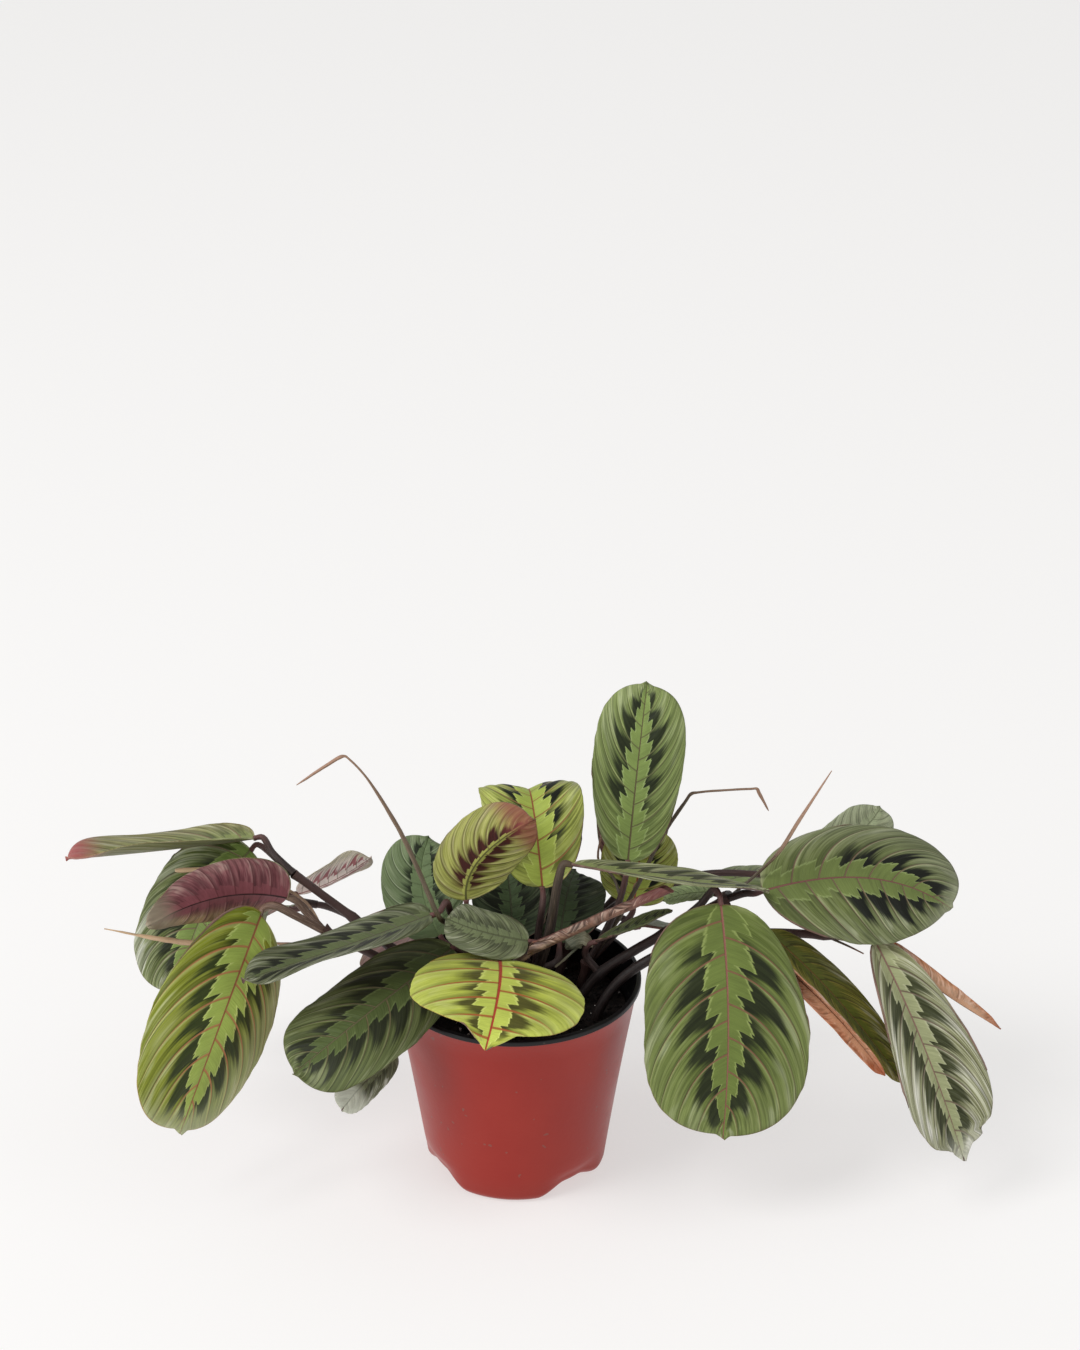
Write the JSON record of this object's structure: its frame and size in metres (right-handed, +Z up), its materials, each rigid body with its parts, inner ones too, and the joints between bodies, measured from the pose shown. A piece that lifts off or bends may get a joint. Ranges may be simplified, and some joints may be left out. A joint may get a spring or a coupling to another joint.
{
  "type": "potted prayer plant maranta",
  "caption": "Bushy prayer plant with patterned oval leaves on thin arching stems, sprawling out of a tapered nursery pot filled with dark soil.",
  "frame": {"origin": "on the pot's axis, at the flat underside of its base", "axes": "+Z up along the pot's axis, +X to the right along the plant's width, -Y to the front"},
  "size_m": [0.5157, 0.2348, 0.2671],
  "materials": {
    "pot": "satin",
    "soil": "matte",
    "stem": "satin",
    "leaf_green": "satin",
    "leaf_bright": "satin",
    "leaf_dark": "satin",
    "leaf_grey": "satin",
    "leaf_purple": "satin",
    "leaf_dried": "matte"
  },
  "bodies": {
    "root": {"pot": "pot", "soil": "soil", "shoot_left": "stem", "shoot_left_low": "stem", "shoot_front": "stem", "shoot_middle": "stem", "shoot_tall": "stem", "shoot_right": "stem", "shoot_right_low": "stem", "shoot_back": "stem", "shoot_back_right": "stem", "leaf_far_left": "leaf_green", "leaf_left_round": "leaf_green", "leaf_left_purple": "leaf_purple", "leaf_left_hanging": "leaf_bright", "leaf_left_small": "leaf_purple", "leaf_left_slanting": "leaf_dark", "leaf_front_dark": "leaf_dark", "leaf_under_dark": "leaf_dark", "leaf_round_spotted": "leaf_grey", "leaf_mid_blotched": "leaf_bright", "leaf_mid_upright": "leaf_bright", "leaf_mid_small": "leaf_grey", "leaf_front_bright": "leaf_bright", "leaf_tall": "leaf_green", "leaf_behind_tall": "leaf_bright", "leaf_long_edge": "leaf_green", "leaf_right_thin": "leaf_dark", "leaf_right_lobe": "leaf_green", "leaf_right_hanging": "leaf_green", "leaf_right_spread": "leaf_green", "leaf_right_back": "leaf_grey", "leaf_right_olive": "leaf_dark", "leaf_far_right": "leaf_grey", "leaf_shade_left": "leaf_dark", "leaf_shade_right": "leaf_dark", "leaf_back_left": "leaf_green", "leaf_back_middle": "leaf_bright", "leaf_back_low_left": "leaf_green", "leaf_back_low_right": "leaf_dark", "leaf_back_tall": "leaf_green", "leaf_back_far_left": "leaf_green", "leaf_back_far_right": "leaf_green", "rolled_leaf": "leaf_purple", "dried_leaf_right": "leaf_dried", "dried_leaf_far_right": "leaf_dried"}
  },
  "joints": []
}
